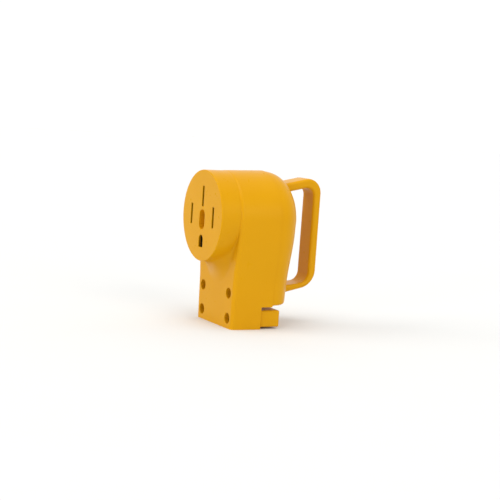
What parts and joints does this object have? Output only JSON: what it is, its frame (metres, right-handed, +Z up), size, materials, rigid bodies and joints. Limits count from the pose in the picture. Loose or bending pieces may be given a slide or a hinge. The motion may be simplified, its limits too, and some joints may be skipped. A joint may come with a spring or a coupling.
{
  "type": "caravan power cord connector",
  "caption": "Wire-it-yourself female caravan power connector with a round slotted face, a carrying handle at the back and a screwed cable clamp below.",
  "frame": {"origin": "middle of the connector's box, at the flat foot of the front housing", "axes": "+Z up, parallel to the mating face; -Y the way the mating face looks; X across, the connector being alike left and right of X = 0"},
  "size_m": [0.0858, 0.1128, 0.1369],
  "materials": {
    "yellow_moulding": "golden yellow thermoplastic with a soft sheen",
    "carrier_plastic": "dark phenolic, matt",
    "brass": "rolled brass",
    "nickel_plate": "dull nickel plate",
    "spring_steel": "blued spring steel",
    "zinc_steel": "bright zinc plate",
    "green_screw": "green dyed steel"
  },
  "bodies": {
    "connector": {"front_housing": "yellow_moulding", "rear_housing": "yellow_moulding", "housing_screw_left": "zinc_steel", "housing_screw_right": "zinc_steel", "housing_insert_left": "brass", "housing_insert_right": "brass", "contact_carrier": "carrier_plastic", "contact_retainer": "carrier_plastic", "carrier_screw_upper_left": "zinc_steel", "carrier_screw_upper_right": "zinc_steel", "carrier_screw_lower_left": "zinc_steel", "carrier_screw_lower_right": "zinc_steel", "hot_contact_left": "brass", "hot_contact_right": "brass", "neutral_contact": "brass", "ground_contact": "brass", "hot_spring_left": "spring_steel", "hot_spring_right": "spring_steel", "neutral_spring": "spring_steel", "ground_spring": "spring_steel"},
    "clamp": {"cable_clamp": "yellow_moulding", "clamp_nut_left": "zinc_steel", "clamp_nut_right": "zinc_steel"},
    "clamp_screw_left": {"clamp_screw_left": "zinc_steel"},
    "clamp_screw_right": {"clamp_screw_right": "zinc_steel"},
    "hot_left_plate": {"hot_pressure_plate_left": "brass"},
    "hot_left_screw": {"hot_terminal_screw_left": "brass"},
    "hot_right_plate": {"hot_pressure_plate_right": "brass"},
    "hot_right_screw": {"hot_terminal_screw_right": "brass"},
    "neutral_plate": {"neutral_pressure_plate": "nickel_plate"},
    "neutral_screw": {"neutral_terminal_screw": "nickel_plate"},
    "ground_plate": {"ground_pressure_plate": "zinc_steel"},
    "ground_screw": {"ground_terminal_screw": "green_screw"}
  },
  "joints": [
    {"name": "clamp_screw_left_turn", "type": "hinge", "parent": "connector", "child": "clamp_screw_left", "pos_m": [-0.0257, -0.0224, 0.0088], "axis": [0, -1, 0], "range_deg": [0, 2700]},
    {"name": "clamp_screw_right_turn", "type": "hinge", "parent": "connector", "child": "clamp_screw_right", "pos_m": [0.0257, -0.0224, 0.0088], "axis": [0, -1, 0], "range_deg": [0, 2700]},
    {"name": "clamp_slide", "type": "slide", "parent": "connector", "child": "clamp", "axis": [0, 1, 0], "range_m": [0, 0.006]},
    {"name": "hot_left_plate_slide", "type": "slide", "parent": "connector", "child": "hot_left_plate", "axis": [0, 1, 0], "range_m": [0, 0.0032]},
    {"name": "hot_left_screw_turn", "type": "hinge", "parent": "hot_left_plate", "child": "hot_left_screw", "pos_m": [-0.0216, -0.0155, 0.0957], "axis": [0, 1, 0], "range_deg": [0, 1440]},
    {"name": "hot_right_plate_slide", "type": "slide", "parent": "connector", "child": "hot_right_plate", "axis": [0, 1, 0], "range_m": [0, 0.0032]},
    {"name": "hot_right_screw_turn", "type": "hinge", "parent": "hot_right_plate", "child": "hot_right_screw", "pos_m": [0.0216, -0.0155, 0.0957], "axis": [0, 1, 0], "range_deg": [0, 1440]},
    {"name": "neutral_plate_slide", "type": "slide", "parent": "connector", "child": "neutral_plate", "axis": [0, 1, 0], "range_m": [0, 0.0032]},
    {"name": "neutral_screw_turn", "type": "hinge", "parent": "neutral_plate", "child": "neutral_screw", "pos_m": [0, -0.0155, 0.1126], "axis": [0, 1, 0], "range_deg": [0, 1440]},
    {"name": "ground_plate_slide", "type": "slide", "parent": "connector", "child": "ground_plate", "axis": [0, 1, 0], "range_m": [0, 0.0032]},
    {"name": "ground_screw_turn", "type": "hinge", "parent": "ground_plate", "child": "ground_screw", "pos_m": [0, -0.0155, 0.0733], "axis": [0, 1, 0], "range_deg": [0, 1440]}
  ],
  "couplings": [
    {"joint": "clamp_screw_left_turn", "follows": "clamp_slide", "rad_per_m": 7854},
    {"joint": "clamp_screw_right_turn", "follows": "clamp_slide", "rad_per_m": 7854},
    {"joint": "hot_left_screw_turn", "follows": "hot_left_plate_slide", "rad_per_m": 7854},
    {"joint": "hot_right_screw_turn", "follows": "hot_right_plate_slide", "rad_per_m": 7854},
    {"joint": "neutral_screw_turn", "follows": "neutral_plate_slide", "rad_per_m": 7854},
    {"joint": "ground_screw_turn", "follows": "ground_plate_slide", "rad_per_m": 7854}
  ]
}
